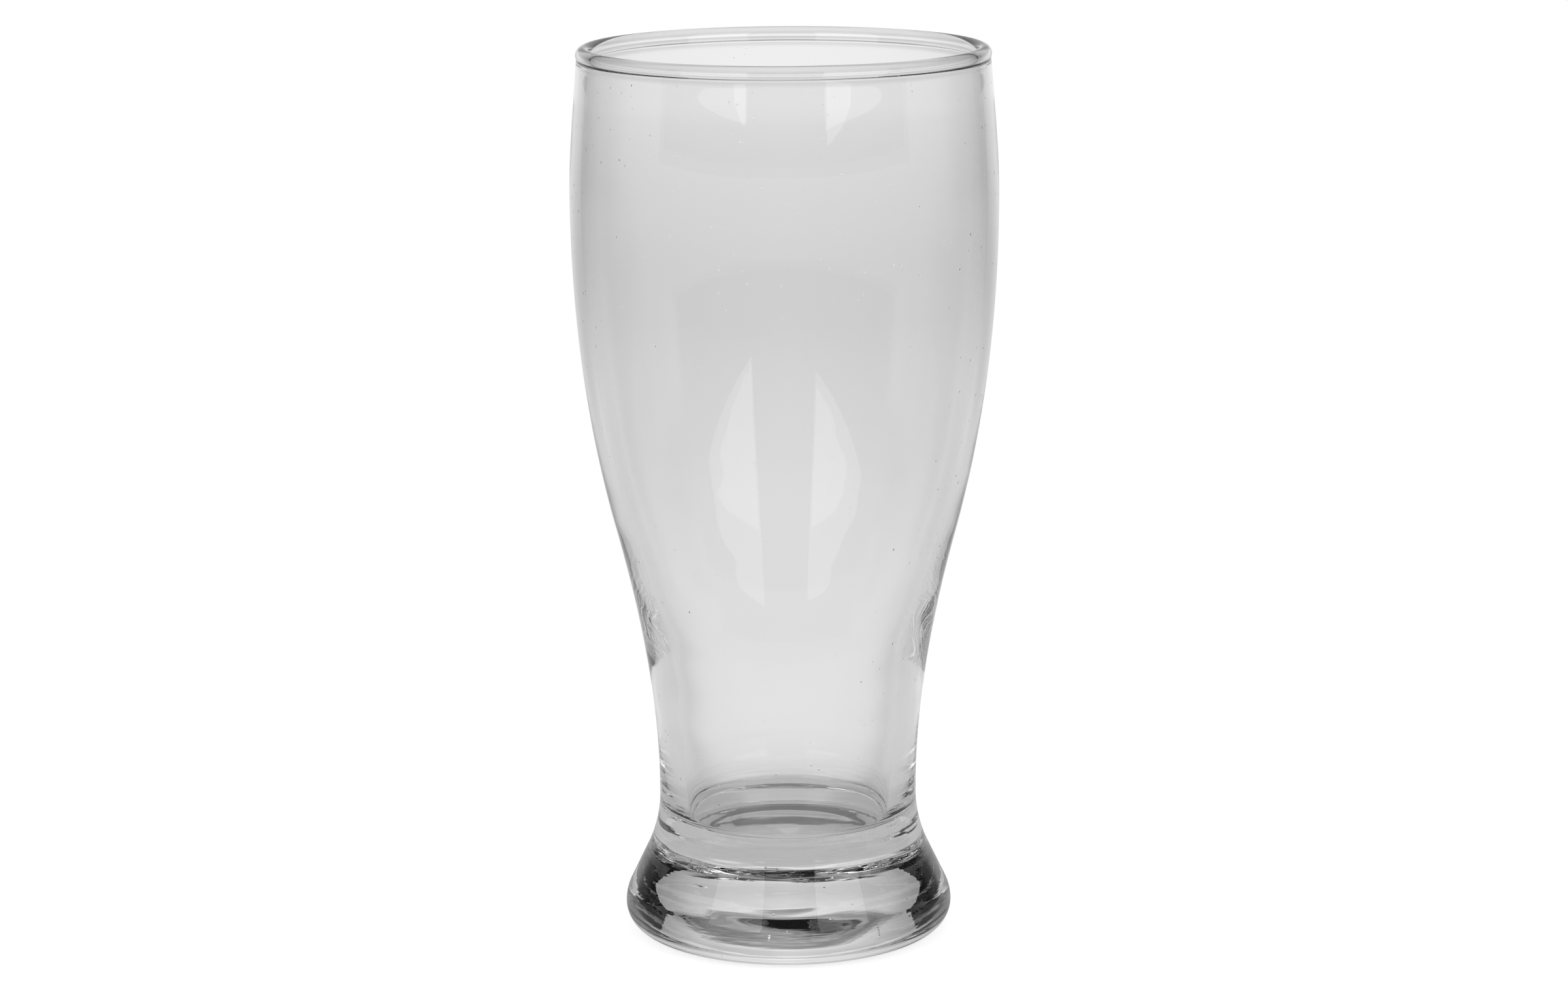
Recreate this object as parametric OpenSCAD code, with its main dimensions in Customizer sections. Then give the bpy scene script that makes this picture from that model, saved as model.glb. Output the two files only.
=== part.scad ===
// Footed beer glass in clear soda-lime glass, about half a litre to the brim.
// A blown bowl swells over a narrow waist and stands on a thick base with a pressed, flared foot.
// The glass is round all over, so its half section is drawn once, with the radius to the right and
// the height up, and every part of the glass is a slice of that section turned about the axis.
// Origin: the middle of the standing face, with +Z up. Lengths in millimetres, angles in degrees.

/* [Overall] */
// Height from the table to the top of the rim
glass_h = 180; // [150:0.5:220]

/* [Bowl outside] */
// Diameter of the bowl wall just under the rim bead
rim_d = 82; // [76:0.1:85]
// Inward lean of the wall just under the rim bead
rim_lean = 4.4; // [0:0.1:8]
// Largest diameter, at the belly
belly_d = 85.2; // [82:0.1:92]
// How far the belly lies below the top of the rim
belly_depth = 29.6; // [18:0.1:50]
// Diameter where the bowl flares most steeply
flare_d = 68.4; // [64:0.1:74]
// Height where the bowl flares most steeply
flare_z = 82.9; // [65:0.1:100]
// Lean of the wall there, from upright
flare_lean = 15; // [11:0.1:20]

/* [Waist and foot outside] */
// Diameter of the waist
waist_d = 52.2; // [48:0.1:56]
// Height of the waist
waist_z = 28.3; // [26:0.1:36]
// Radius of the hollow curve below the waist
waist_sweep_r = 27.6; // [15:0.1:32]
// Diameter of the foot
foot_d = 66.5; // [62:0.1:74]
// Height of the foot, up to the thick base
foot_h = 16.4; // [10:0.1:20]
// Radius of the rounded edge between the foot and the table
foot_edge_r = 5.2; // [3:0.1:7]
// Radius of the rounded shoulder on top of the foot
foot_shoulder_r = 8.5; // [5:0.1:12]

/* [Walls and floor] */
// Wall just under the rim bead
rim_wall = 2.4; // [1.6:0.1:3.4]
// Wall at the belly
belly_wall = 2.5; // [1.6:0.1:4]
// Wall where the bowl flares, measured level
flare_wall = 2.9; // [2:0.1:5]
// Lean of the inside wall where the bowl flares
flare_wall_lean = 16.6; // [11:0.1:19]
// Height of the middle of the inside floor
floor_z = 22.7; // [18:0.1:23.3]
// Diameter of the dished inside floor
floor_d = 38; // [28:0.1:40]
// How far the inside floor rises from its middle to its edge
floor_dish = 0.9; // [0.2:0.1:1.4]
// Radius of the corner between the inside floor and the wall
floor_corner_r = 2; // [1:0.1:2.4]
// Lean of the inside wall just above that corner
floor_wall_lean = 4; // [2:0.1:16]

/* [Rim bead] */
// How far the fire-polished bead stands proud of the wall outside
bead_proud = 0.2; // [0.1:0.01:0.6]
// How far it stands proud of the wall inside
bead_inside = 0.6; // [0.1:0.01:0.8]
// Radius of the hollow fillet under the bead, outside and inside
bead_fillet_r = 0.6; // [0.3:0.1:1]
// Plain wall left below the bead in the rim piece
bead_neck = 0.2; // [0.1:0.1:2]

/* [Underside] */
// Width of the flat ring that the glass stands on
ring_w = 3.2; // [2:0.1:6]
// Height of that ring
ring_h = 0.6; // [0.3:0.1:1.2]
// Rise of the hollow inside the ring
hollow_h = 2; // [1:0.1:5]
// Width of the edge of the hollow, which rolls over towards the ring
hollow_roll_w = 6; // [1:0.1:12]

/* [Hidden] */
$fn = 160;

// Straight steps along each kind of curve of the section
wall_steps = 24;
round_steps = 12;

// Radii
rim_r = rim_d / 2;
belly_r = belly_d / 2;
flare_r = flare_d / 2;
waist_r = waist_d / 2;
foot_r = foot_d / 2;
floor_r = floor_d / 2;
bead_r = (rim_wall + bead_proud + bead_inside) / 2;

// Heights of the belly, and of the joint between the bowl and the rim piece
belly_z = glass_h - belly_depth;
rim_z = glass_h - 2 * bead_r - bead_neck;

// Every slice is cut wider and taller than the glass
cut_over = glass_h + belly_d + foot_d;

// Points along a round stretch about a centre, from one angle to the other
function arc(centre, r, from, to) =
    [for (i = [0 : round_steps]) let (a = from + (to - from) * i / round_steps)
        centre + r * [cos(a), sin(a)]];

// Share of a station's radius or lean that counts at t, which runs from 0 to 1 between two stations
function radius_share(t) = (1 + 2 * t) * pow(1 - t, 2);
function lean_share(t) = t * pow(1 - t, 2);

// Points of a wall that leaves one station and reaches the next with the lean that each one has.
// A station is its radius, its height and its outward lean.
function wall(low, high) =
    let (rise = high[1] - low[1])
    [for (i = [0 : wall_steps]) let (t = i / wall_steps)
        [low[0] * radius_share(t) + high[0] * radius_share(1 - t)
            + rise * (tan(low[2]) * lean_share(t) - tan(high[2]) * lean_share(1 - t)),
         low[1] + rise * t]];

function reversed(points) = [for (i = [len(points) - 1 : -1 : 0]) points[i]];

// Foot: its side is the straight line that touches both the shoulder and the sweep under the waist.
// The sweep is never so large that it would run past the shoulder.
foot_reach = foot_r - waist_r;
foot_rise = waist_z - foot_edge_r;
largest_sweep_r = (pow(foot_reach, 2) + pow(foot_rise, 2)) / (2 * foot_reach) - foot_shoulder_r;
sweep_r = min(waist_sweep_r, largest_sweep_r);
shoulder_c = [foot_r - foot_shoulder_r, foot_edge_r];
sweep_c = [waist_r + sweep_r, waist_z];
between = sweep_c - shoulder_c;
side_lean = atan2(between[1], between[0]) - acos(min(1, (foot_shoulder_r + sweep_r) / norm(between)));
foot_edge = arc([foot_r - foot_edge_r, foot_edge_r], foot_edge_r, -90, 0);
foot_shoulder = arc(shoulder_c, foot_shoulder_r, 0, side_lean);
waist_sweep = arc(sweep_c, sweep_r, 180 + side_lean, 180);

// Bowl outside
waist = [waist_r, waist_z, 0];
flare = [flare_r, flare_z, flare_lean];
belly = [belly_r, belly_z, 0];
rim = [rim_r, rim_z, -rim_lean];
bowl_outside = concat(wall(waist, flare), wall(flare, belly), wall(belly, rim));

// Inside floor, its corner and the wall above it
dish_a = 2 * atan(floor_dish / floor_r);
dish_r = floor_r / sin(dish_a);
dish_c = [0, floor_z + dish_r];
floor_edge = [floor_r, floor_z + floor_dish];
corner_c = floor_edge + floor_corner_r * [-sin(dish_a), cos(dish_a)];
corner_top = corner_c + floor_corner_r * [cos(floor_wall_lean), -sin(floor_wall_lean)];
floor_points = arc(dish_c, dish_r, -90, dish_a - 90);
corner_points = arc(corner_c, floor_corner_r, dish_a - 90, -floor_wall_lean);
inside_low = [corner_top[0], corner_top[1], floor_wall_lean];
inside_flare = [flare_r - flare_wall, flare_z, flare_wall_lean];
inside_belly = [belly_r - belly_wall, belly_z, 0];
inside_rim = [rim_r - rim_wall, rim_z, -rim_lean];
bowl_inside = concat(
    wall(inside_low, inside_flare),
    wall(inside_flare, inside_belly),
    wall(inside_belly, inside_rim));

// Rim bead: a round bead that a small hollow fillet joins to each face of the wall
wall_up = [-sin(rim_lean), cos(rim_lean)];
bead_lift = (bead_neck + bead_r) / cos(rim_lean);
bead_c = [rim_r + bead_proud - bead_r, rim_z] + wall_up * bead_lift;

// Centre of the fillet beside a wall face that starts at a point, with its way out of the glass
function fillet_c(start, out) =
    let (to_bead = bead_c - start,
         beside = bead_fillet_r - to_bead * out,
         reach = bead_r + bead_fillet_r)
    start + out * bead_fillet_r + wall_up * (to_bead * wall_up - sqrt(reach * reach - beside * beside));

outside_fillet_c = fillet_c([rim[0], rim[1]], [cos(rim_lean), sin(rim_lean)]);
inside_fillet_c = fillet_c([inside_rim[0], inside_rim[1]], [-cos(rim_lean), -sin(rim_lean)]);

// Angle of the way from one point to another, from 0 to 360
function heading(from, to) = (atan2(to[1] - from[1], to[0] - from[0]) + 360) % 360;

outside_touch_a = heading(bead_c, outside_fillet_c);
inside_touch_a = heading(bead_c, inside_fillet_c);
bead_points = concat(
    arc(outside_fillet_c, bead_fillet_r, 180 + rim_lean, outside_touch_a - 180),
    arc(bead_c, bead_r, outside_touch_a - 360, inside_touch_a),
    arc(inside_fillet_c, bead_fillet_r, inside_touch_a - 180, rim_lean));

// Underside: a flat standing ring round a shallow hollow, domed in the middle and rolled over at its edge.
// The dome and the roll meet at the steepest slope of the hollow.
ring_out_r = foot_r - foot_edge_r;
ring_in_r = ring_out_r - ring_w;
hollow_r = ring_in_r - ring_h;
hollow_a = 2 * atan(hollow_h / hollow_r);
dome_r = (hollow_r - hollow_roll_w) / sin(hollow_a);
roll_r = hollow_roll_w / sin(hollow_a);
dome_points = arc([0, ring_h + hollow_h - dome_r], dome_r, 90, 90 - hollow_a);
roll_points = arc([hollow_r, ring_h + roll_r], roll_r, 270 - hollow_a, 270);
underside = concat(dome_points, roll_points, [[ring_in_r, 0]]);

// Half section of the whole glass, once round from the middle of the underside
module glass_section() {
    polygon(concat(underside, foot_edge, foot_shoulder, waist_sweep, bowl_outside,
        bead_points, reversed(bowl_inside), reversed(corner_points), reversed(floor_points)));
}

// The glass between two heights
module glass_slice(low, high) {
    rotate_extrude()
        intersection() {
            glass_section();
            translate([0, low])
                square([cut_over, high - low]);
        }
}

// Flat ring that rests on the table
module standing_ring() {
    color([0.80, 0.84, 0.86, 0.8])
        glass_slice(-cut_over, ring_h);
}

// Pressed, flared foot with its rounded edge and domed underside
module foot() {
    color([0.86, 0.89, 0.91, 0.7])
        glass_slice(ring_h, foot_h);
}

// Thick solid base with the dished floor of the drink
module heavy_base() {
    color([0.90, 0.93, 0.95, 0.7])
        glass_slice(foot_h, waist_z);
}

// Blown wall from the waist to just under the rim
module bowl() {
    color([0.93, 0.96, 0.98, 0.5])
        glass_slice(waist_z, rim_z);
}

// Fire-polished bead round the mouth
module rim_bead() {
    color([0.88, 0.92, 0.94, 0.7])
        glass_slice(rim_z, cut_over);
}

standing_ring();
foot();
heavy_base();
bowl();
rim_bead();
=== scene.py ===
# %% [markdown]
# # A footed beer glass
# The glass is one lump of clear soda-lime glass: a blown bowl over a narrow waist, a thick base and a
# pressed foot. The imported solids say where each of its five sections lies. They are drawn with straight
# steps, and clear glass shows every step as a line, so this lesson turns each section again as a fine,
# smooth mesh in the same place, with the small marks that forming leaves in real glass.

# %% Load the frame
import math

import bpy
import numpy as np
from mathutils import Matrix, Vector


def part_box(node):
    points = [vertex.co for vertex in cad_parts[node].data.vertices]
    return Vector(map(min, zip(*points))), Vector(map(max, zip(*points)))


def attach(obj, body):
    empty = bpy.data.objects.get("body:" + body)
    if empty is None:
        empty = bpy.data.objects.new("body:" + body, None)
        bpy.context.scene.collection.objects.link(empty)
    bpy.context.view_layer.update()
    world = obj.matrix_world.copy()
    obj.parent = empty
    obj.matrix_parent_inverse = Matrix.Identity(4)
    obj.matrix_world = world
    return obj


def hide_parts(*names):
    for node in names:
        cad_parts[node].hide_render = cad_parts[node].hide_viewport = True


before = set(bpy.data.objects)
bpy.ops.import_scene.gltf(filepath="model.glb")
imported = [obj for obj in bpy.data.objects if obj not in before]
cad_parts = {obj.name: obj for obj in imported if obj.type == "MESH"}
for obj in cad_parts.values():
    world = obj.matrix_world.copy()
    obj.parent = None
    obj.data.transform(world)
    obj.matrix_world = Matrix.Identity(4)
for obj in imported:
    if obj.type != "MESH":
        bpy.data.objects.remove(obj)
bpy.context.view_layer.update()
print("Nodes:", sorted(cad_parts))

# %% [markdown]
# ## The half section
# A glass that is round all over is known by its half section. Blender could spin a curve with a Screw
# modifier, but then the forming marks would need a second tool. Here the section is a row of points,
# worked out from the glass's own sizes, and turning it is one line of arithmetic. Heights and widths
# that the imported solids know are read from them, and only what they can't say is written down. Lengths
# are in millimetres, as on a glassworks drawing, until the mesh is made.

# %% Sizes that the frame gives
MM = 0.001


def top_corner_mm(node_name):
    """The corner of a section's box that lies farthest right, back and up, in millimetres."""
    return np.array(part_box(node_name)[1]) / MM


ring_h = top_corner_mm("standing_ring")[2]
foot_h = top_corner_mm("foot")[2]
waist_z = top_corner_mm("heavy_base")[2]
rim_z = top_corner_mm("bowl")[2]
glass_h = top_corner_mm("rim_bead")[2]
foot_r = top_corner_mm("foot")[0]
belly_r = top_corner_mm("bowl")[0]
print(f"Glass {glass_h:.1f} mm tall, belly {2 * belly_r:.1f} mm, foot {2 * foot_r:.1f} mm across")

# %% Round and straight stretches
fine_step = 0.25
fewest_arc_steps = 6
fewest_line_steps = 2


def arc(centre, radius, start, end, step=fine_step):
    """Points along a round stretch about a centre, from one angle to the other."""
    count = max(fewest_arc_steps, math.ceil(abs(end - start) * radius / step))
    angles = np.linspace(start, end, count + 1)
    return np.array(centre) + radius * np.column_stack([np.cos(angles), np.sin(angles)])


def line(start, end):
    """Points along a straight stretch."""
    count = max(fewest_line_steps, math.ceil(math.dist(start, end) / fine_step))
    share = np.linspace(0, 1, count + 1)[:, None]
    return (1 - share) * np.array(start) + share * np.array(end)


print(f"Round and straight stretches have steps of at most {fine_step} mm")

# %% [markdown]
# ## Underside and foot
# The foot is pressed, and molten glass doesn't fill a sharp corner: the edge, the shoulder and the sweep up
# to the waist are all round. The glass stands on a narrow flat ring, so that it doesn't rock, with a
# shallow domed hollow inside it. A profile drawn by hand would leave kinks, which clear glass shows, so
# each stretch is an arc that starts in the direction in which the last one ended. Only the ring has
# corners, and these are eased as a mould leaves them.

# %% Underside
foot_edge_r = 5.2
ring_w = 3.2
hollow_h = 2.0
hollow_roll_w = 6.0
ring_out_r = foot_r - foot_edge_r
ring_in_r = ring_out_r - ring_w
hollow_r = ring_in_r - ring_h
hollow_turn = 2 * math.atan(hollow_h / hollow_r)
dome_r = (hollow_r - hollow_roll_w) / math.sin(hollow_turn)
roll_r = hollow_roll_w / math.sin(hollow_turn)
dome = arc((0, ring_h + hollow_h - dome_r), dome_r, math.pi / 2, math.pi / 2 - hollow_turn)
roll = arc((hollow_r, ring_h + roll_r), roll_r, 1.5 * math.pi - hollow_turn, 1.5 * math.pi)
whole_hollow = np.vstack([dome, roll])
print(f"The hollow is {2 * hollow_r:.1f} mm across and {hollow_h:.1f} mm deep")

# %% Eased corners of the ring
edge_ease = 0.35
ease_points = 9


def eased(before, corner, after):
    """Points of a corner that the mould left soft, from and to a little way before and after it."""
    start = corner + (before - corner) * edge_ease / math.dist(before, corner)
    end = corner + (after - corner) * edge_ease / math.dist(after, corner)
    t = np.linspace(0, 1, ease_points)[:, None]
    return (1 - t) ** 2 * start + 2 * t * (1 - t) * corner + t**2 * end


lip = np.array([hollow_r, ring_h])
ring_in = np.array([ring_in_r, 0.0])
ring_out = np.array([ring_out_r, 0.0])
before_lip = whole_hollow[-3]
lip_ease = eased(before_lip, lip, ring_in)
ring_ease = eased(lip, ring_in, ring_out)
hollow = whole_hollow[whole_hollow[:, 0] < lip_ease[0][0]]
ring = [lip_ease, line(lip_ease[-1], ring_ease[0]), ring_ease, line(ring_ease[-1], ring_out)]
print(f"The ring's corners are eased over {edge_ease} mm")

# %% Foot
foot_shoulder_r = 8.5
waist_r = 26.1
waist_sweep_r = 27.6
shoulder_centre = np.array([foot_r - foot_shoulder_r, foot_edge_r])
sweep_centre = np.array([waist_r + waist_sweep_r, waist_z])
across, up = sweep_centre - shoulder_centre
side_lean = math.atan2(up, across) - math.acos((foot_shoulder_r + waist_sweep_r) / math.hypot(across, up))
foot_edge = arc((ring_out_r, foot_edge_r), foot_edge_r, -math.pi / 2, 0)
foot_shoulder = arc(shoulder_centre, foot_shoulder_r, 0, side_lean)
waist_sweep = arc(sweep_centre, waist_sweep_r, math.pi + side_lean, math.pi)
foot_side = line(foot_shoulder[-1], waist_sweep[0])
print(f"The side of the foot leans {math.degrees(side_lean):.1f} degrees")

# %% [markdown]
# ## Bowl
# The bowl leaves the waist upright, flares, swells to the belly and leans in again towards the rim. Its
# wall is thin above and thickens downwards into the solid base. The lean of each face decides what the
# glass shows there, so the walls are curves between stations that set the radius, the height and the lean.
# A free spline through the same points would leave the lean to chance.

# %% Walls between stations


def wall(low, high, step):
    """Points of a wall between two stations. A station is its radius, its height and its outward lean."""
    rise = high[1] - low[1]
    t = np.linspace(0, 1, math.ceil(rise / step) + 1)
    from_low = (1 + 2 * t) * (1 - t) ** 2
    lean_low = t * (1 - t) ** 2
    lean_high = t**2 * (1 - t)
    radius = low[0] * from_low + high[0] * (1 - from_low)
    radius += rise * (math.tan(low[2]) * lean_low - math.tan(high[2]) * lean_high)
    return np.column_stack([radius, low[1] + rise * t])


def walls(stations, step):
    """The walls from each station to the next."""
    return [wall(low, high, step) for low, high in zip(stations, stations[1:])]


# %% Bowl outside
outside_step = 0.75
flare_r = 34.2
flare_z = 82.9
flare_lean = math.radians(15)
belly_depth = 29.6
belly_z = glass_h - belly_depth
rim_r = 41.0
rim_lean = math.radians(4.4)
waist = (waist_r, waist_z, 0)
flare = (flare_r, flare_z, flare_lean)
belly = (belly_r, belly_z, 0)
rim = (rim_r, rim_z, -rim_lean)
bowl_outside = walls([waist, flare, belly, rim], outside_step)
print(f"The waist is {2 * waist_r:.1f} mm and the rim {2 * rim_r:.1f} mm across")

# %% Floor of the drink
floor_z = 22.7
floor_r = 19.0
floor_dish = 0.9
floor_corner_r = 2.0
floor_wall_lean = math.radians(4)
dish_turn = 2 * math.atan(floor_dish / floor_r)
dish_sphere_r = floor_r / math.sin(dish_turn)
floor_edge = np.array([floor_r, floor_z + floor_dish])
corner_centre = floor_edge + floor_corner_r * np.array([-math.sin(dish_turn), math.cos(dish_turn)])
floor = arc((0, floor_z + dish_sphere_r), dish_sphere_r, -math.pi / 2, dish_turn - math.pi / 2)
floor_corner = arc(corner_centre, floor_corner_r, dish_turn - math.pi / 2, -floor_wall_lean)
print(f"The floor lies {floor_z:.1f} mm above the table")

# %% Bowl inside
inside_step = 0.5
flare_wall = 2.9
flare_wall_lean = math.radians(16.6)
belly_wall = 2.5
rim_wall = 2.4
inside_low = (*floor_corner[-1], floor_wall_lean)
inside_flare = (flare_r - flare_wall, flare_z, flare_wall_lean)
inside_belly = (belly_r - belly_wall, belly_z, 0)
inside_rim = (rim_r - rim_wall, rim_z, -rim_lean)
bowl_inside = walls([inside_low, inside_flare, inside_belly, inside_rim], inside_step)
print(f"The wall is {rim_wall} mm at the rim and {flare_wall} mm at the flare")

# %% [markdown]
# ## The rim bead
# A blown glass leaves its mould with a sharp edge. A flame then melts the edge, and the melt draws up
# into a round bead, a little thicker than the wall, with a small hollow fillet at each side. A bevel on
# the edge would be round too, but no thicker than the wall, so the bead and its fillets are arcs that touch.

# %% Place of the bead
bead_proud = 0.2
bead_inside = 0.6
bead_r = (rim_wall + bead_proud + bead_inside) / 2
wall_up = np.array([-math.sin(rim_lean), math.cos(rim_lean)])
wall_out = np.array([math.cos(rim_lean), math.sin(rim_lean)])
bead_foot = np.array([rim_r + bead_proud - bead_r, rim_z])
bead_centre = bead_foot + wall_up * (glass_h - rim_z - bead_r) / wall_up[1]
print(f"The bead is {2 * bead_r:.1f} mm thick")

# %% Bead and its fillets
bead_step = 0.08
bead_fillet_r = 0.6


def fillet_centre(start, out):
    """Centre of the fillet between the bead and a wall face, with that face's way out of the glass."""
    to_bead = bead_centre - start
    beside = bead_fillet_r - to_bead @ out
    reach = bead_r + bead_fillet_r
    return start + out * bead_fillet_r + wall_up * (to_bead @ wall_up - math.sqrt(reach**2 - beside**2))


def heading(start, end):
    """Angle of the way from one point to another, from 0 to a full turn."""
    return math.atan2(end[1] - start[1], end[0] - start[0]) % math.tau


outside_fillet = fillet_centre(np.array(rim[:2]), wall_out)
inside_fillet = fillet_centre(np.array(inside_rim[:2]), -wall_out)
outside_touch = heading(bead_centre, outside_fillet)
inside_touch = heading(bead_centre, inside_fillet)
bead = [
    arc(outside_fillet, bead_fillet_r, math.pi + rim_lean, outside_touch - math.pi, bead_step),
    arc(bead_centre, bead_r, outside_touch - math.tau, inside_touch, bead_step),
    arc(inside_fillet, bead_fillet_r, inside_touch - math.pi, rim_lean, bead_step),
]
print(f"Its fillets have a radius of {bead_fillet_r} mm")

# %% One section, once round from the middle of the underside
stretches = [
    ("hollow", [hollow]),
    ("ring", ring),
    ("foot", [foot_edge, foot_shoulder, foot_side, waist_sweep]),
    ("outside", bowl_outside),
    ("bead", bead),
    ("inside", [part[::-1] for part in bowl_inside[::-1]]),
    ("floor", [floor_corner[::-1], floor[::-1]]),
]
joint_heights = [ring_h, foot_h, waist_z, rim_z]
same_point = 1e-4
section = []
stretch_of = []

# A point is added wherever the section crosses the height of a joint.
for stretch, parts in stretches:
    for point in np.vstack(parts):
        if section and math.dist(section[-1], point) < same_point:
            continue
        if section:
            last = section[-1]
            for joint_height in joint_heights:
                if (last[1] - joint_height) * (point[1] - joint_height) < -same_point**2:
                    share = (joint_height - last[1]) / (point[1] - last[1])
                    section.append(last + share * (point - last))
                    stretch_of.append(stretch)
        section.append(point)
        stretch_of.append(stretch)
section = np.array(section)
stretch_of = np.array(stretch_of)
section[0, 0] = section[-1, 0] = 0
radius = section[:, 0]
height = section[:, 1]
print(f"The half section has {len(section)} points")

# %% [markdown]
# ## Forming marks
# Hot glass keeps a record of how it was made. Where the thick end of the gob met the cold plunger, the
# lower inside wall is up to 0.8 mm thicker, and it chills into faint wrinkles, deepest beside the two mould
# seams, which show as bright and dark streaks near the edge of the glass. The flame at the rim draws the
# wall up a little thicker under the bead. The outside settles in long low waves, the domed underside is a
# little wavy, and fine turning lines of the mould are left above the foot. Waves and lines are a few
# hundredths of a millimetre deep at most. Bump mapping would fake them, but glass bends light by its real
# surface, so here they move the mesh itself.

# %% Waves that close up round the glass
columns = 192
angle = np.arange(columns) * math.tau / columns
draw = np.random.default_rng(seed=7)


def waves(along, lengths, turns, count):
    """A sum of slanted waves: lengths in millimetres along the section, and whole waves round the glass."""
    total = np.zeros((len(along), columns))
    for _ in range(count):
        length = draw.uniform(*lengths)
        around = draw.integers(turns[0], turns[1] + 1)
        start = draw.uniform(0, math.tau)
        total += np.sin(math.tau * along[:, None] / length + around * angle[None, :] + start)
    return total / math.sqrt(count)


# %% Where a mark begins and ends


def fade(value, start, full):
    """0 before the start, 1 from the full mark on, with an even ease between them."""
    share = np.clip((value - start) / (full - start), 0, 1)
    return share**2 * (3 - 2 * share)


def between(value, start, full, last, end):
    """0 before the start, 1 from the full mark to the last one, and 0 again from the end on."""
    return fade(value, start, full) * (1 - fade(value, last, end))


# %% Chill wrinkles of the lower inside wall
wrinkle_depth = 0.03
wrinkle_heights = (waist_z, 38, 62, 90)
wrinkle_lengths = (5, 16)
wrinkle_turns = (-5, 5)
wrinkle_count = 9
least_seam_share = 0.15
inside = stretch_of == "inside"
by_the_seams = least_seam_share + (1 - least_seam_share) * np.cos(angle) ** 2
chilled = between(height, *wrinkle_heights) * inside
wrinkles = waves(height, wrinkle_lengths, wrinkle_turns, wrinkle_count)
depth = wrinkle_depth * chilled[:, None] * by_the_seams * wrinkles
print(f"Wrinkles lie between {depth.min():.3f} and {depth.max():.3f} mm")

# %% Thicker wall, below in the bowl and under the bead
swell_depth = 0.8
swell_z = 54
swell_reach = 13
swell = np.exp(-(((height - swell_z) / swell_reach) ** 2)) * inside
depth += swell_depth * swell[:, None]

draw_up_depth = 0.15
draw_up_reach = 8
bead_blend = 0.6
mouth_side = inside | ((stretch_of == "bead") & (radius < bead_centre[0]))
drawn_up = fade(height, rim_z - draw_up_reach, rim_z + bead_r) * mouth_side
drawn_up *= 1 - fade(height, rim_z - bead_blend, rim_z + bead_blend)
depth += draw_up_depth * drawn_up[:, None]
print(f"The wall is up to {depth.max():.2f} mm thicker")

# %% Long low waves outside
settle_depth = 0.01
settle_heights = (32, 45, 70, 110)
settle_lengths = (9, 22)
settle_turns = (-3, 3)
settle_count = 5
settled = between(height, *settle_heights) * (stretch_of == "outside")
depth += settle_depth * settled[:, None] * waves(height, settle_lengths, settle_turns, settle_count)
print(f"{settle_count} waves outside, each {settle_lengths[0]} to {settle_lengths[1]} mm long")

# %% Ripples of the hollow
ripple_depth = 0.02
ripple_radii = (1, 6, 20.5, 23.5)
ripple_lengths = (4, 9)
ripple_turns = (-2, 2)
ripple_count = 6
rippled = between(radius, *ripple_radii) * (stretch_of == "hollow")
depth += ripple_depth * rippled[:, None] * waves(radius, ripple_lengths, ripple_turns, ripple_count)
print(f"{ripple_count} ripples, each {ripple_lengths[0]} to {ripple_lengths[1]} mm long")

# %% Turning lines above the foot
tooling_depth = 0.009
tooling_heights = (15, 18, 26, waist_z)
tooling_lengths = (0.9, 2.4)
tooling_turns = (-12, 12)
tooling_count = 14
tooled = between(height, *tooling_heights) * (stretch_of == "foot")
depth += tooling_depth * tooled[:, None] * waves(height, tooling_lengths, tooling_turns, tooling_count)
print(f"Marks lie between {depth.min():.3f} and {depth.max():.3f} mm")

# %% Points and normals of the whole surface
travelled = np.concatenate([[0], np.cumsum(np.linalg.norm(np.diff(section, axis=0), axis=1))])
along = np.gradient(section, travelled, axis=0)
along /= np.linalg.norm(along, axis=1, keepdims=True)
out_r = along[:, 1]
out_z = -along[:, 0]
grid_r = radius[:, None] + depth * out_r[:, None]
grid_z = height[:, None] + depth * out_z[:, None]
grid = np.stack([grid_r * np.cos(angle), grid_r * np.sin(angle), grid_z], axis=-1)

down_section = np.gradient(grid, travelled, axis=0)
round_glass = np.roll(grid, -1, axis=1) - np.roll(grid, 1, axis=1)
normals = np.cross(round_glass, down_section)
normals[0] = (0, 0, -1)
normals[-1] = (0, 0, 1)
normals /= np.linalg.norm(normals, axis=2, keepdims=True)
print(f"The surface has {len(grid)} rows of {columns} points")

# %% [markdown]
# ## Five sections as closed meshes
# Each section takes its own rows of the surface and is closed by flat faces where it meets the next one.
# In the real glass nothing lies there, so those faces get a material that light passes straight through.
# A boolean cut would make the same pieces but leave untidy faces along the cut. The normals come from the
# whole surface, so that no line shows where two sections meet.

# %% Where the sections meet
other_stretch = 1000


def row_at(joint_height, stretch_names):
    """The row of the section that lies at a joint's height, on one of some stretches."""
    off_by = np.abs(height - joint_height) + other_stretch * ~np.isin(stretch_of, stretch_names)
    return int(np.argmin(off_by))


lip_row = row_at(ring_h, ["hollow", "ring"])
edge_row = row_at(ring_h, ["foot"])
foot_row = row_at(foot_h, ["foot"])
waist_row = row_at(waist_z, ["foot", "outside"])
rim_row = row_at(rim_z, ["outside", "bead"])
mouth_row = row_at(rim_z, ["bead", "inside"])
inner_waist_row = row_at(waist_z, ["inside"])
floor_row = len(section) - 1
print("Joints at rows", lip_row, edge_row, foot_row, waist_row, rim_row, mouth_row, inner_waist_row)

# %% Faces between two rings


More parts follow.
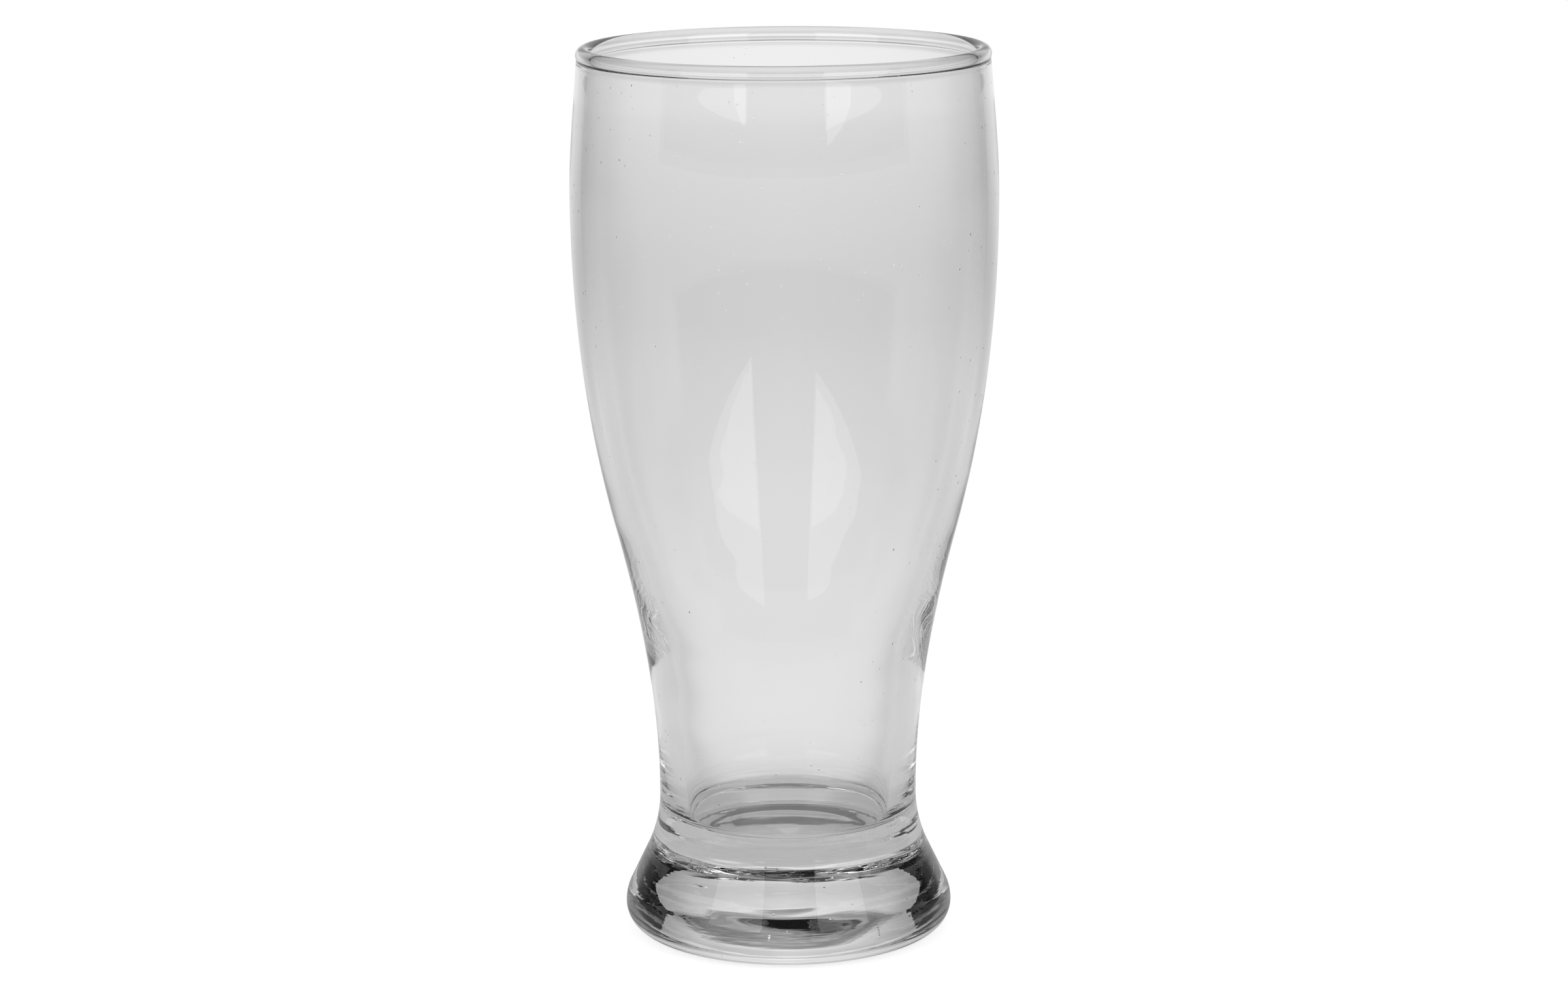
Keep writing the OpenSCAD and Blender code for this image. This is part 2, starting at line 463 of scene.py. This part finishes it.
def ring_faces(start_a, size_a, start_b, size_b):
    """Faces between two rings, each with its first point and its size. A ring of size 1 is on the axis."""
    here = np.arange(columns)
    there = np.roll(here, -1)
    if size_a == 1:
        corners = [start_a + 0 * here, start_b + there, start_b + here]
    elif size_b == 1:
        corners = [start_a + here, start_a + there, start_b + 0 * here]
    else:
        corners = [start_a + here, start_a + there, start_b + there, start_b + here]
    return np.column_stack(corners).tolist()


# %% A closed mesh from rows of the surface


def turned_piece(name, runs, materials, axis_first=None, axis_last=None):
    """A closed piece from runs of rows. Joint faces close the gaps between the runs. Where a joint is a
    whole disc, it closes on the axis at the height given, before the first run or after the last."""
    points = []
    outward = []
    rings = []

    def add_ring(ring_points, ring_normals, row):
        rings.append((len(points), len(ring_points), row))
        points.extend(ring_points)
        outward.extend(ring_normals)

    if axis_first is not None:
        add_ring([(0, 0, axis_first)], [(0, 0, -1)], None)
    for first, last in runs:
        for row in range(first, last + 1):
            size = 1 if radius[row] == 0 else columns
            add_ring(grid[row][:size], normals[row][:size], row)
    if axis_last is not None:
        add_ring([(0, 0, axis_last)], [(0, 0, 1)], None)

    pairs = list(zip(rings, rings[1:]))
    if rings[0][1] > 1 and rings[-1][1] > 1:
        pairs.append((rings[-1], rings[0]))
    faces = []
    is_joint = []
    for (start_a, size_a, row_a), (start_b, size_b, row_b) in pairs:
        faces.extend(ring_faces(start_a, size_a, start_b, size_b))
        joined = row_a is None or row_b is None or row_b != row_a + 1
        is_joint.extend([int(joined)] * columns)

    mesh = bpy.data.meshes.new(name)
    mesh.from_pydata((np.array(points) * MM).tolist(), [], faces)
    for material in materials:
        mesh.materials.append(material)
    mesh.polygons.foreach_set("material_index", is_joint)
    mesh.normals_split_custom_set_from_vertices(np.array(outward).tolist())
    piece = bpy.data.objects.new(name, mesh)
    bpy.context.scene.collection.objects.link(piece)
    triangles = sum(len(face) - 2 for face in faces)
    print(f"{name}: {len(points)} points, {triangles} triangles")
    return piece


# %% [markdown]
# ## Glass
# Soda-lime glass bends light with an index of about 1.52 and is nearly colourless, with a breath of grey
# in thick places. Its surface depends on how it was made. Pressed glass takes the fine turning lines of the
# mould. Blown glass is as smooth as a liquid, with tiny seeds and pits. The flame leaves the rim smooth,
# with fewer pits than the rest. A Glass BSDF would do as well, but the Principled BSDF can also be
# exported. It has full transmission, and only the finest relief comes from patterns.

# %% Colours and nodes


def linear(hex_colour):
    """A colour written as sRGB hex, as Blender's linear red, green, blue and alpha."""
    channels = [int(hex_colour[i : i + 2], 16) / 255 for i in (1, 3, 5)]
    return (*[c / 12.92 if c <= 0.04045 else ((c + 0.055) / 1.055) ** 2.4 for c in channels], 1.0)


def add(tree, kind, settings=None, values=None, links=None):
    """Adds a node with its settings, its sockets' values and the outputs that its sockets are linked to."""
    node = tree.nodes.new(kind)
    for key, value in (settings or {}).items():
        setattr(node, key, value)
    for key, value in (values or {}).items():
        node.inputs[key].default_value = value
    for key, output in (links or {}).items():
        tree.links.new(output, node.inputs[key])
    return node


def new_material(name):
    """An empty material and its node tree."""
    material = bpy.data.materials.new(name)
    material.use_nodes = True
    material.node_tree.nodes.clear()
    return material, material.node_tree


# %% Clear glass with a surface of its own
soda_lime_ior = 1.52
melt_roughness = 0.0
line_detail = 2.0
# Real seeds and pits are finer than this. They are drawn as coarse as they need to be to show.
pit_r_mm = 0.28
pit_depth_mm = 0.06


def clear_glass(name, tint, line_height_mm, line_length_mm, line_depth_mm, pit_spacing_mm):
    """Clear soda-lime glass with fine lines round it, as deep as given, and tiny pits."""
    material, tree = new_material(name)
    place = add(tree, "ShaderNodeTexCoord").outputs["Object"]
    stretch = (1 / (line_length_mm * MM), 1 / (line_length_mm * MM), 1 / (line_height_mm * MM))
    lines_at = add(tree, "ShaderNodeVectorMath", {"operation": "MULTIPLY"}, {1: stretch}, {0: place})
    lines = add(
        tree,
        "ShaderNodeTexNoise",
        values={"Scale": 1.0, "Detail": line_detail},
        links={"Vector": lines_at.outputs[0]},
    )
    relief = add(
        tree,
        "ShaderNodeBump",
        values={"Strength": 1.0, "Distance": line_depth_mm * MM},
        links={"Height": lines.outputs["Fac"]},
    )
    cells = add(
        tree,
        "ShaderNodeTexVoronoi",
        {"feature": "F1"},
        {"Scale": 1 / (pit_spacing_mm * MM)},
        {"Vector": place},
    )
    pit = add(
        tree,
        "ShaderNodeMapRange",
        {"interpolation_type": "SMOOTHSTEP"},
        {"From Min": 0.0, "From Max": pit_r_mm / pit_spacing_mm, "To Min": 0.0, "To Max": 1.0},
        {"Value": cells.outputs["Distance"]},
    )
    pitted = add(
        tree,
        "ShaderNodeBump",
        values={"Strength": 1.0, "Distance": pit_depth_mm * MM},
        links={"Height": pit.outputs["Result"], "Normal": relief.outputs["Normal"]},
    )
    surface = add(
        tree,
        "ShaderNodeBsdfPrincipled",
        values={
            "Base Color": linear(tint),
            "Roughness": melt_roughness,
            "IOR": soda_lime_ior,
            "Transmission Weight": 1.0,
        },
        links={"Normal": pitted.outputs["Normal"]},
    )
    add(tree, "ShaderNodeOutputMaterial", links={"Surface": surface.outputs["BSDF"]})
    return material


# %% Three finishes
# The mould's turning lines break the reflections on the thick foot into short glints.
pressed_glass = clear_glass(
    "pressed soda-lime glass",
    tint="#f5f5f5",
    line_height_mm=0.9,
    line_length_mm=18,
    line_depth_mm=0.02,
    pit_spacing_mm=4,
)
# The blown wall sets like a liquid, so the room shows in it clean and sharp, but for a seed here and there.
blown_glass = clear_glass(
    "blown soda-lime glass",
    tint="#fafafa",
    line_height_mm=2.5,
    line_length_mm=30,
    line_depth_mm=0.002,
    pit_spacing_mm=4,
)
# The flame melts the edge into a bead, which draws a bright line and a dark one round the mouth.
fire_polished_glass = clear_glass(
    "fire-polished soda-lime glass",
    tint="#fafafa",
    line_height_mm=6,
    line_length_mm=20,
    line_depth_mm=0.004,
    pit_spacing_mm=8,
)
print("Finishes:", pressed_glass.name, blown_glass.name, fire_polished_glass.name, sep="\n")

# %% Nothing where two sections meet
# The glass is unbroken there, so the eye sees nothing.
joint, joint_tree = new_material("unbroken glass inside")
straight_through = add(joint_tree, "ShaderNodeBsdfTransparent")
add(joint_tree, "ShaderNodeOutputMaterial", links={"Surface": straight_through.outputs["BSDF"]})
print("Joint faces:", joint.name)

# %% The five sections
pieces = {
    "standing_ring": turned_piece("turned_standing_ring", [(lip_row, edge_row)], [pressed_glass, joint]),
    "foot": turned_piece(
        "turned_foot",
        [(0, lip_row), (edge_row, foot_row)],
        [pressed_glass, joint],
        axis_last=foot_h,
    ),
    "heavy_base": turned_piece(
        "turned_heavy_base",
        [(foot_row, waist_row), (inner_waist_row, floor_row)],
        [pressed_glass, joint],
        axis_first=foot_h,
    ),
    "bowl": turned_piece(
        "blown_bowl",
        [(waist_row, rim_row), (mouth_row, inner_waist_row)],
        [blown_glass, joint],
    ),
    "rim_bead": turned_piece("melted_rim_bead", [(rim_row, mouth_row)], [fire_polished_glass, joint]),
}
for node_name, piece in pieces.items():
    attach(piece, "root")
    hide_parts(node_name)
print("Sections:", ", ".join(pieces))

# %% [markdown]
# ## Studio
# Clear glass has no look of its own: it shows the room. This one is a usual small studio. A pale table runs
# into a paper sweep behind the glass, low walls carry the light on to the sides, and two softboxes stand
# beside the camera. No flags stand here: the shade of black flags beside the sweep is painted into the walls
# and the table. The room above is dark, which draws the dark lines in the thick foot. Lamps could light real
# paper, but then each reflection would hang on all of them, so every sheet here glows by a painted
# brightness that is kept at its points, its light and shade painted in. The camera sees white all round, and
# the table keeps a soft shadow.

# %% A piece of the studio


def stage_mesh(name, points, faces, levels):
    """A piece of the studio, with a brightness at each of its points."""
    mesh = bpy.data.meshes.new(name)
    mesh.from_pydata(points, [], faces)
    brightness = mesh.attributes.new("brightness", "FLOAT", "POINT")
    brightness.data.foreach_set("value", levels)
    piece = bpy.data.objects.new(name, mesh)
    bpy.context.scene.collection.objects.link(piece)
    return piece


# %% Panels that stand round the glass
panel_steps = 24


def sky_point(azimuth, elevation, distance):
    """A point seen from the glass in a direction. Azimuth 0 is straight behind it, in degrees."""
    turn = math.radians(azimuth)
    lift = math.radians(elevation)
    return (
        distance * math.cos(lift) * math.sin(turn),
        distance * math.cos(lift) * math.cos(turn),
        distance * math.sin(lift),
    )


def panel(name, azimuths, elevations, distance, level, slant=0):
    """A curved sheet in the edges' directions given. Its lower edge rises by the slant from the first
    azimuth to the second, and its level takes the shares of the way round and up, 0 to 1."""
    shares = np.linspace(0, 1, panel_steps + 1)
    points = []
    levels = []
    for up_share in shares:
        for round_share in shares:
            azimuth = azimuths[0] + (azimuths[1] - azimuths[0]) * round_share
            lowest = elevations[0] + slant * round_share
            elevation = lowest + (elevations[1] - lowest) * up_share
            points.append(sky_point(azimuth, elevation, distance))
            levels.append(level(round_share, up_share))
    row = panel_steps + 1
    faces = []
    for i in range(panel_steps):
        for j in range(panel_steps):
            corner = i * row + j
            faces.append((corner, corner + 1, corner + row + 1, corner + row))
    return stage_mesh(name, points, faces, levels)


# %% Painted light that is left to the sides
core_azimuth = 5
core_loss = 0.10
side_azimuths = (8, 24)
side_loss = 0.16
# Painted shade: no flag stands in the scene, and the shade that black flags would cast is painted into the
# walls and the far table.
painted_flag_shade_azimuths = (34, 46, 72, 88)
painted_flag_shade_strength = 0.6


def side_share(azimuth):
    """Share of the painted light straight behind the glass that is left to the sides of it, in degrees."""
    beside_core = 1 - math.exp(-((azimuth / core_azimuth) ** 2))
    return 1 - core_loss * beside_core - side_loss * fade(abs(azimuth), *side_azimuths)


def painted_flag_shade(azimuth):
    """Share of the light that painted shade takes away, where black flags beside the sweep would stand."""
    return painted_flag_shade_strength * between(abs(azimuth), *painted_flag_shade_azimuths)


print(f"The painted flag shade lies {painted_flag_shade_azimuths[0]} to {painted_flag_shade_azimuths[-1]} degrees from straight behind")

# %% Paper sweep
room_distance = 8
sweep_azimuth = 36
sweep_low = -2
sweep_top = 48
# Painted light of the sweep at each height.
sweep_elevation = [4, 8, 14, 22, 28, 33, 38, 42, 47]
sweep_level = [1.0, 0.66, 0.7, 0.8, 0.9, 0.4, 0.25, 0.5, 0.0]
sweep_end_azimuth = 20
sweep_end_loss = 0.4


def sweep_light(across, up):
    """The sweep's light is painted, as if lit from below and from above, and falls off towards its sides and
    its top.
    """
    azimuth = sweep_azimuth * (2 * across - 1)
    elevation = sweep_low + (sweep_top - sweep_low) * up
    ends = 1 - sweep_end_loss * fade(abs(azimuth), sweep_end_azimuth, sweep_azimuth)
    return np.interp(elevation, sweep_elevation, sweep_level) * (side_share(azimuth) * ends)


sweep_sides = (-sweep_azimuth, sweep_azimuth)
sheets = [panel("paper_sweep", sweep_sides, (sweep_low, sweep_top), room_distance, sweep_light)]
print(f"The sweep stands {room_distance} m behind the glass")

# %% Low walls and softboxes
wall_azimuth = 110
wall_top = 9
wall_level = 0.48
wall_full_share = 0.6
softbox_distance = 0.62
softbox_outer_edge = 120
softbox_top = 47
softbox_slant = 5
softbox_level = 1.3
softbox_edges = {"left": (-1, 160, 18.0), "right": (1, 158, 16.8)}


def wall_light(across, up):
    """A low wall carries painted shade where a flag would stand at its end, and its painted light fades out
    towards its top.
    """
    azimuth = sweep_azimuth + (wall_azimuth - sweep_azimuth) * across
    return wall_level * (1 - painted_flag_shade(azimuth)) * (1 - fade(up, wall_full_share, 1))


def softbox_light(across, up):
    """A softbox is even all over."""
    return softbox_level


for hand, (side, inner_edge, lower_edge) in softbox_edges.items():
    wall_sides = (side * sweep_azimuth, side * wall_azimuth)
    wall_edges = (sweep_low, wall_top)
    sheets.append(panel(f"low_wall_{hand}", wall_sides, wall_edges, room_distance, wall_light))
    box_sides = (side * inner_edge, side * softbox_outer_edge)
    box_edges = (lower_edge, softbox_top)
    box_name = f"softbox_{hand}"
    sheets.append(panel(box_name, box_sides, box_edges, softbox_distance, softbox_light, softbox_slant))
print("Sheets:", ", ".join(sheet.name for sheet in sheets))

# %% [markdown]
# ## Table
# The thick foot works as a lens that looks down at the table, so the table's light makes most of its
# pattern: the glass's shadow painted close to the foot, a pale middle and brighter paper far behind. One
# flat face would be enough for the eye, but not for the glass, so the table is a set of rings with a painted
# brightness at each point.

# %% Painted light and shade of the table
# Painted light of the table by distance: the low levels close to the foot are the glass's shadow, painted
# in.
ring_distance = [0.026, 0.032, 0.05, 0.085, 0.16, 0.38, 0.5, 0.75, 0.9, 1.1, 1.35, 1.55, 4]
painted_ring_level = [0.55, 0.5, 0.55, 0.78, 0.84, 0.84, 0.80, 0.735, 0.745, 0.80, 0.87, 0.92, 0.98]
front_distance = [0.3, 0.8, 1.6, 4]
front_share = [1, 0.7, 0.52, 0.48]
beside_azimuths = (12, 28, 110, 150)
beside_loss = 0.22
behind_cosines = (0.6, 0.92)
table_side_share = 0.7
turned_azimuths = (18, 30)
turned_loss = 0.15
painted_flag_shade_distances = (0.5, 1.6)
far_distances = (0.2, 0.45)


def table_level(distance, turn):
    """Painted brightness of the table, with its painted shadow and falloff, as the glass sees it, some
    metres away and turned from straight behind.
    """
    azimuth = abs(math.degrees(math.atan2(math.sin(turn), math.cos(turn))))
    # Painted shade to the sides close to the glass, and painted falloff farther out.
    near_share = 1 - beside_loss * between(azimuth, *beside_azimuths)
    behind = fade(math.cos(turn), *behind_cosines)
    far_share = behind * (1 - table_side_share * (1 - side_share(azimuth)))
    far_share *= 1 - turned_loss * fade(azimuth, *turned_azimuths)
    far_share += (1 - behind) * np.interp(distance, front_distance, front_share)
    # Painted shade where flags would stand.
    far_share *= 1 - painted_flag_shade(azimuth) * fade(distance, *painted_flag_shade_distances)
    far = fade(distance, *far_distances)
    share = (1 - far) * near_share + far * far_share
    return np.interp(distance, ring_distance, painted_ring_level) * share


# %% Rings of the table
table_sectors = 180
table_angle = np.arange(table_sectors) * math.tau / table_sectors
table_drop = -0.0001


def table_ring(name, distances):
    """A flat ring of the table, with its painted brightness, painted shadow included, as the glass sees it.
    """
    points = []
    levels = []
    for distance in distances:
        for turn in table_angle:
            points.append((distance * math.sin(turn), distance * math.cos(turn), table_drop))
            levels.append(table_level(distance, turn))
    faces = []
    for i in range(len(distances) - 1):
        for j in range(table_sectors):
            after = (j + 1) % table_sectors
            a = i * table_sectors
            b = a + table_sectors
            faces.append((a + j, a + after, b + after, b + j))
    return stage_mesh(name, points, faces, levels)


# %% Near and far table
table_middle_r = 1e-4
under_foot_r = 0.012
near_table_r = 0.2
near_rings = 30
far_rings = 40
near_distances = np.concatenate([[table_middle_r], np.geomspace(under_foot_r, near_table_r, near_rings)])
near_table = table_ring("table", near_distances)
sheets.append(table_ring("table_far", np.geomspace(near_table_r, room_distance, far_rings)))
print(f"The near table reaches {near_table_r} m, the far one {room_distance} m")

# %% Paper with painted light, and softbox cloth
# Paper and diffuser cloth under even light show no grain, so they are plain brightness to the glass. The
# paper's light and shade are painted into that brightness, and the softboxes' cloth glows as a lamp.
lit, lit_tree = new_material("paper with painted light and softbox cloth")
lit_level = add(lit_tree, "ShaderNodeAttribute", {"attribute_name": "brightness"})
lit_glow = add(lit_tree, "ShaderNodeEmission", links={"Strength": lit_level.outputs["Fac"]})
add(lit_tree, "ShaderNodeOutputMaterial", links={"Surface": lit_glow.outputs["Emission"]})
for sheet in sheets:
    sheet.data.materials.append(lit)
    sheet.visible_camera = False
print(f"{len(sheets)} sheets glow, out of the camera's sight")

# %% Matt paper, white to the camera, with painted light and shadow to the glass
# Uncoated paper scatters light evenly, so the shadow of the glass on it is soft and has no shine.
paper_lift = 0.72
paper, paper_tree = new_material("matt white paper")
paper_ray = add(paper_tree, "ShaderNodeLightPath")
seen_in_glass = add(
    paper_tree,
    "ShaderNodeMath",
    {"operation": "MAXIMUM"},
    links={0: paper_ray.outputs["Is Glossy Ray"], 1: paper_ray.outputs["Is Transmission Ray"]},
)
# To the glass, the paper shows its painted brightness, with the glass's shadow painted in near the foot.
paper_level = add(paper_tree, "ShaderNodeAttribute", {"attribute_name": "brightness"})
paper_glow = add(paper_tree, "ShaderNodeEmission", links={"Strength": paper_level.outputs["Fac"]})
paper_matt = add(paper_tree, "ShaderNodeBsdfDiffuse", values={"Color": linear("#f4f4f4")})
paper_white = add(paper_tree, "ShaderNodeEmission", values={"Strength": paper_lift})
paper_seen = add(
    paper_tree,
    "ShaderNodeAddShader",
    links={0: paper_matt.outputs["BSDF"], 1: paper_white.outputs["Emission"]},
)
paper_mix = add(
    paper_tree,
    "ShaderNodeMixShader",
    links={0: seen_in_glass.outputs[0], 1: paper_seen.outputs[0], 2: paper_glow.outputs["Emission"]},
)
add(paper_tree, "ShaderNodeOutputMaterial", links={"Surface": paper_mix.outputs[0]})
near_table.data.materials.append(paper)
print("Table:", paper.name)

# %% Room
soft_level = 0.4
camera_level = 1.0
dark_level = 0.01
white = linear("#ffffff")
world = bpy.data.worlds.new("dark room, white to the camera")
bpy.context.scene.world = world
world.use_nodes = True
room_tree = world.node_tree
room_tree.nodes.clear()
room_ray = add(room_tree, "ShaderNodeLightPath")
room_in_glass = add(
    room_tree,
    "ShaderNodeMath",
    {"operation": "MAXIMUM"},
    links={0: room_ray.outputs["Is Glossy Ray"], 1: room_ray.outputs["Is Transmission Ray"]},
)
soft_light = add(room_tree, "ShaderNodeBackground", values={"Strength": soft_level, "Color": white})
white_room = add(room_tree, "ShaderNodeBackground", values={"Strength": camera_level, "Color": white})
dark_room = add(room_tree, "ShaderNodeBackground", values={"Strength": dark_level, "Color": white})
room_lit = add(
    room_tree,
    "ShaderNodeMixShader",
    links={0: room_in_glass.outputs[0], 1: soft_light.outputs[0], 2: dark_room.outputs[0]},
)
room = add(
    room_tree,
    "ShaderNodeMixShader",
    links={0: room_ray.outputs["Is Camera Ray"], 1: room_lit.outputs[0], 2: white_room.outputs[0]},
)
add(room_tree, "ShaderNodeOutputWorld", links={"Surface": room.outputs[0]})
print("Room:", world.name)

# %% [markdown]
# ## Camera and light paths
# The photograph looks slightly down on the glass from a little under a metre, with a portrait lens and a
# trace of roll. Light crosses many faces of clear glass before it leaves, so the path limits go up.

# %% Camera
eye = (-0.00044, -0.8259, 0.2622)
pitch = 0.2058
roll = math.radians(-0.35)
lens = bpy.data.cameras.new("portrait lens")
lens.sensor_width = 36
lens.lens = 96.18
camera = bpy.data.objects.new("camera", lens)
bpy.context.scene.collection.objects.link(camera)
looking = Matrix.Rotation(math.pi / 2 - pitch, 4, "X") @ Matrix.Rotation(roll, 4, "Z")
camera.matrix_world = Matrix.Translation(eye) @ looking
bpy.context.scene.camera = camera
print(f"The camera looks down by {math.degrees(pitch):.1f} degrees")

# %% Light paths
cycles = bpy.context.scene.cycles
cycles.max_bounces = 32
cycles.diffuse_bounces = 1
cycles.glossy_bounces = 32
cycles.transmission_bounces = 32
cycles.transparent_max_bounces = 64
bpy.context.scene.view_settings.view_transform = "Standard"
print(f"Light may turn {cycles.max_bounces} times")
